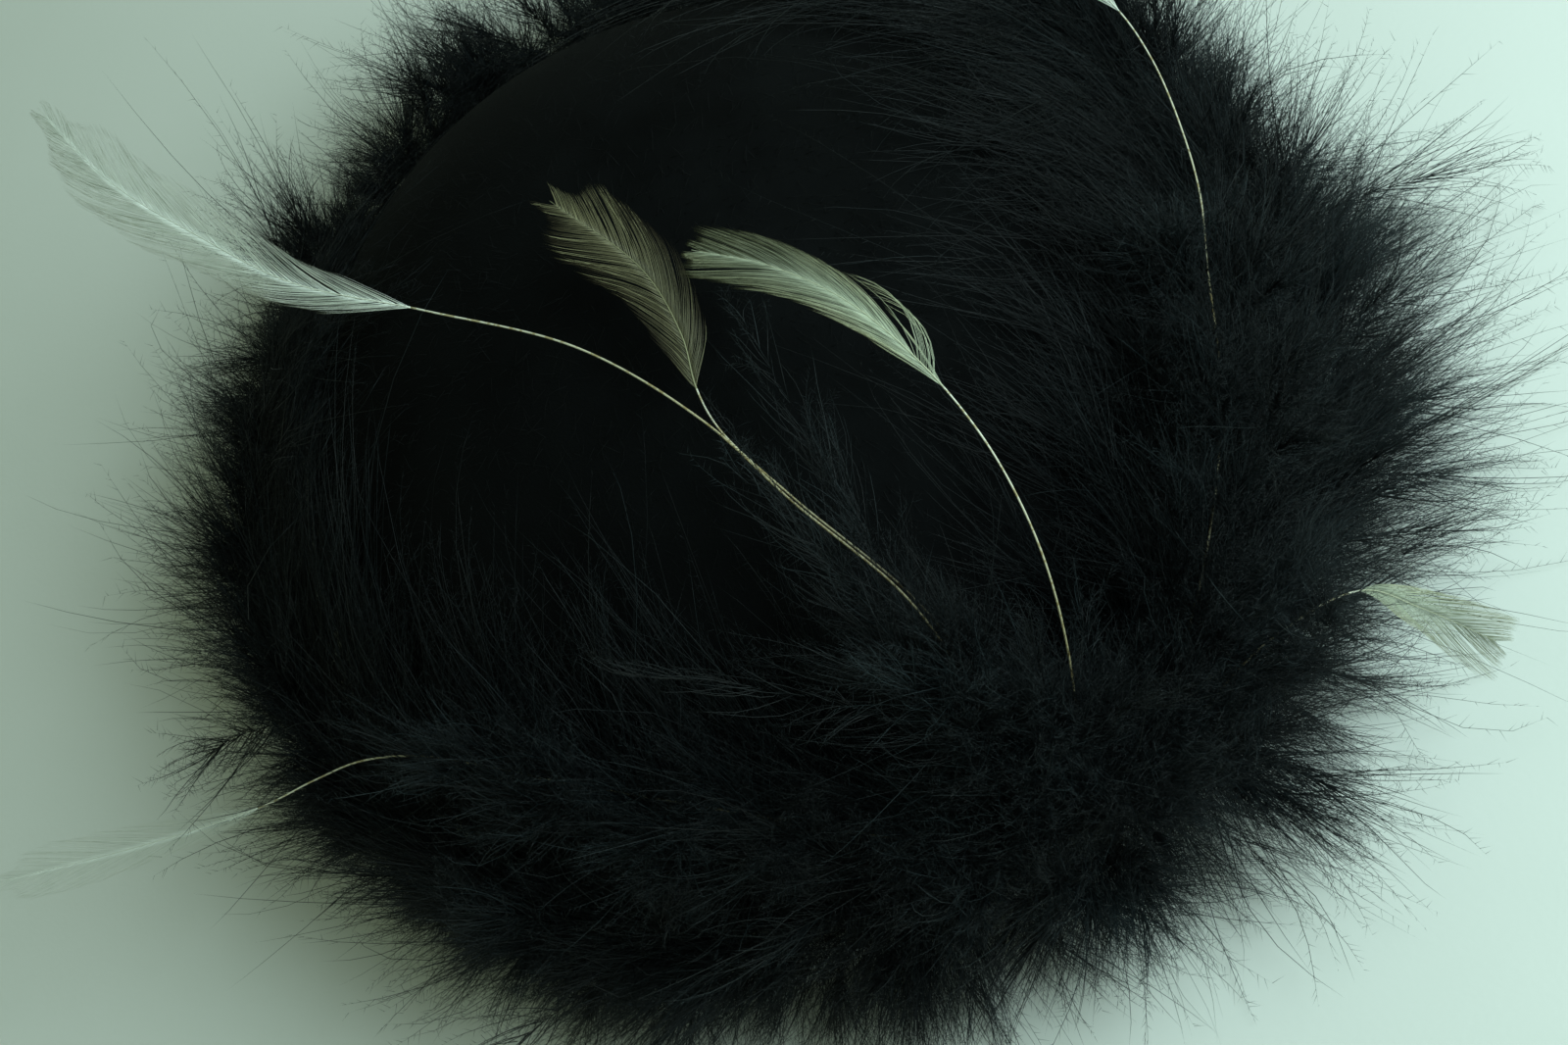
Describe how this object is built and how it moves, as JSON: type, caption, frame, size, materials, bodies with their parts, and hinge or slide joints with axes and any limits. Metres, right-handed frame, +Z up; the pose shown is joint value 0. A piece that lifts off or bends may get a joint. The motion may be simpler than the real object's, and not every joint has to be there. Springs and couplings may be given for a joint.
{
  "type": "feather boa hat",
  "caption": "Small black felt hat with a marabou feather boa round its edge and a spray of stripped hackle feathers at the front.",
  "frame": {"origin": "under the middle of the whole object's box, on the surface that the crown's edge stands on", "axes": "+Z up along the crown's axis; -Y is the front, where the feather spray is sewn on; +X is to the right as seen from the front"},
  "size_m": [0.253, 0.2236, 0.0944],
  "materials": {
    "black_felt": "matte",
    "lining_satin": "satin",
    "grosgrain": "matte",
    "millinery_wire": "satin",
    "black_cord": "matte",
    "black_thread": "matte",
    "black_marabou": "matte",
    "florist_tape": "matte",
    "ivory_quill": "satin",
    "white_vane": "matte",
    "grey_vane": "matte",
    "cream_vane": "matte"
  },
  "bodies": {
    "hat": {"felt_crown": "black_felt", "crown_lining": "lining_satin", "sweatband": "grosgrain", "edge_binding": "grosgrain", "edge_wire": "millinery_wire", "boa_cord": "black_cord", "cord_whipping_right": "black_thread", "cord_whipping_left": "black_thread", "marabou_01": "black_marabou", "marabou_02": "black_marabou", "marabou_03": "black_marabou", "marabou_04": "black_marabou", "marabou_05": "black_marabou", "marabou_06": "black_marabou", "marabou_07": "black_marabou", "marabou_08": "black_marabou", "marabou_09": "black_marabou", "marabou_10": "black_marabou", "marabou_11": "black_marabou", "marabou_12": "black_marabou", "marabou_tuft": "black_marabou", "boa_stitch_1": "black_thread", "boa_stitch_2": "black_thread", "boa_stitch_3": "black_thread", "boa_stitch_4": "black_thread", "boa_stitch_5": "black_thread", "boa_stitch_6": "black_thread", "spray_pad": "black_felt", "quill_binding": "florist_tape", "binding_thread": "black_thread"},
    "hackle_1": {"hackle_1_quill": "ivory_quill", "hackle_1_vane": "white_vane"},
    "hackle_2": {"hackle_2_quill": "ivory_quill", "hackle_2_vane": "grey_vane"},
    "hackle_3": {"hackle_3_quill": "ivory_quill", "hackle_3_vane": "cream_vane"},
    "hackle_4": {"hackle_4_quill": "ivory_quill", "hackle_4_vane": "white_vane"},
    "hackle_5": {"hackle_5_quill": "ivory_quill", "hackle_5_vane": "cream_vane"},
    "hackle_6": {"hackle_6_quill": "ivory_quill", "hackle_6_vane": "white_vane"}
  },
  "joints": [
    {"name": "hackle_1_nod", "type": "hinge", "parent": "hat", "child": "hackle_1", "pos_m": [0.01498, -0.08921, 0.029], "axis": [1, 0, 0], "range_deg": [-2, 12], "stiffness_Nm_per_rad": 0.02},
    {"name": "hackle_2_nod", "type": "hinge", "parent": "hat", "child": "hackle_2", "pos_m": [0.01738, -0.08921, 0.029], "axis": [1, 0, 0], "range_deg": [-2, 12], "stiffness_Nm_per_rad": 0.02},
    {"name": "hackle_3_nod", "type": "hinge", "parent": "hat", "child": "hackle_3", "pos_m": [0.01978, -0.08921, 0.029], "axis": [1, 0, 0], "range_deg": [-2, 12], "stiffness_Nm_per_rad": 0.02},
    {"name": "hackle_4_nod", "type": "hinge", "parent": "hat", "child": "hackle_4", "pos_m": [0.02218, -0.08921, 0.029], "axis": [0.8821, -0.4711, 0], "range_deg": [-2, 12], "stiffness_Nm_per_rad": 0.02},
    {"name": "hackle_5_nod", "type": "hinge", "parent": "hat", "child": "hackle_5", "pos_m": [0.02458, -0.08921, 0.029], "axis": [-0.243, -0.97, 0], "range_deg": [-2, 12], "stiffness_Nm_per_rad": 0.02},
    {"name": "hackle_6_nod", "type": "hinge", "parent": "hat", "child": "hackle_6", "pos_m": [0.01258, -0.08921, 0.029], "axis": [0.6242, 0.7813, 0], "range_deg": [-2, 12], "stiffness_Nm_per_rad": 0.02}
  ],
  "couplings": [
    {"joint": "hackle_2_nod", "follows": "hackle_1_nod", "ratio": 1}
  ]
}
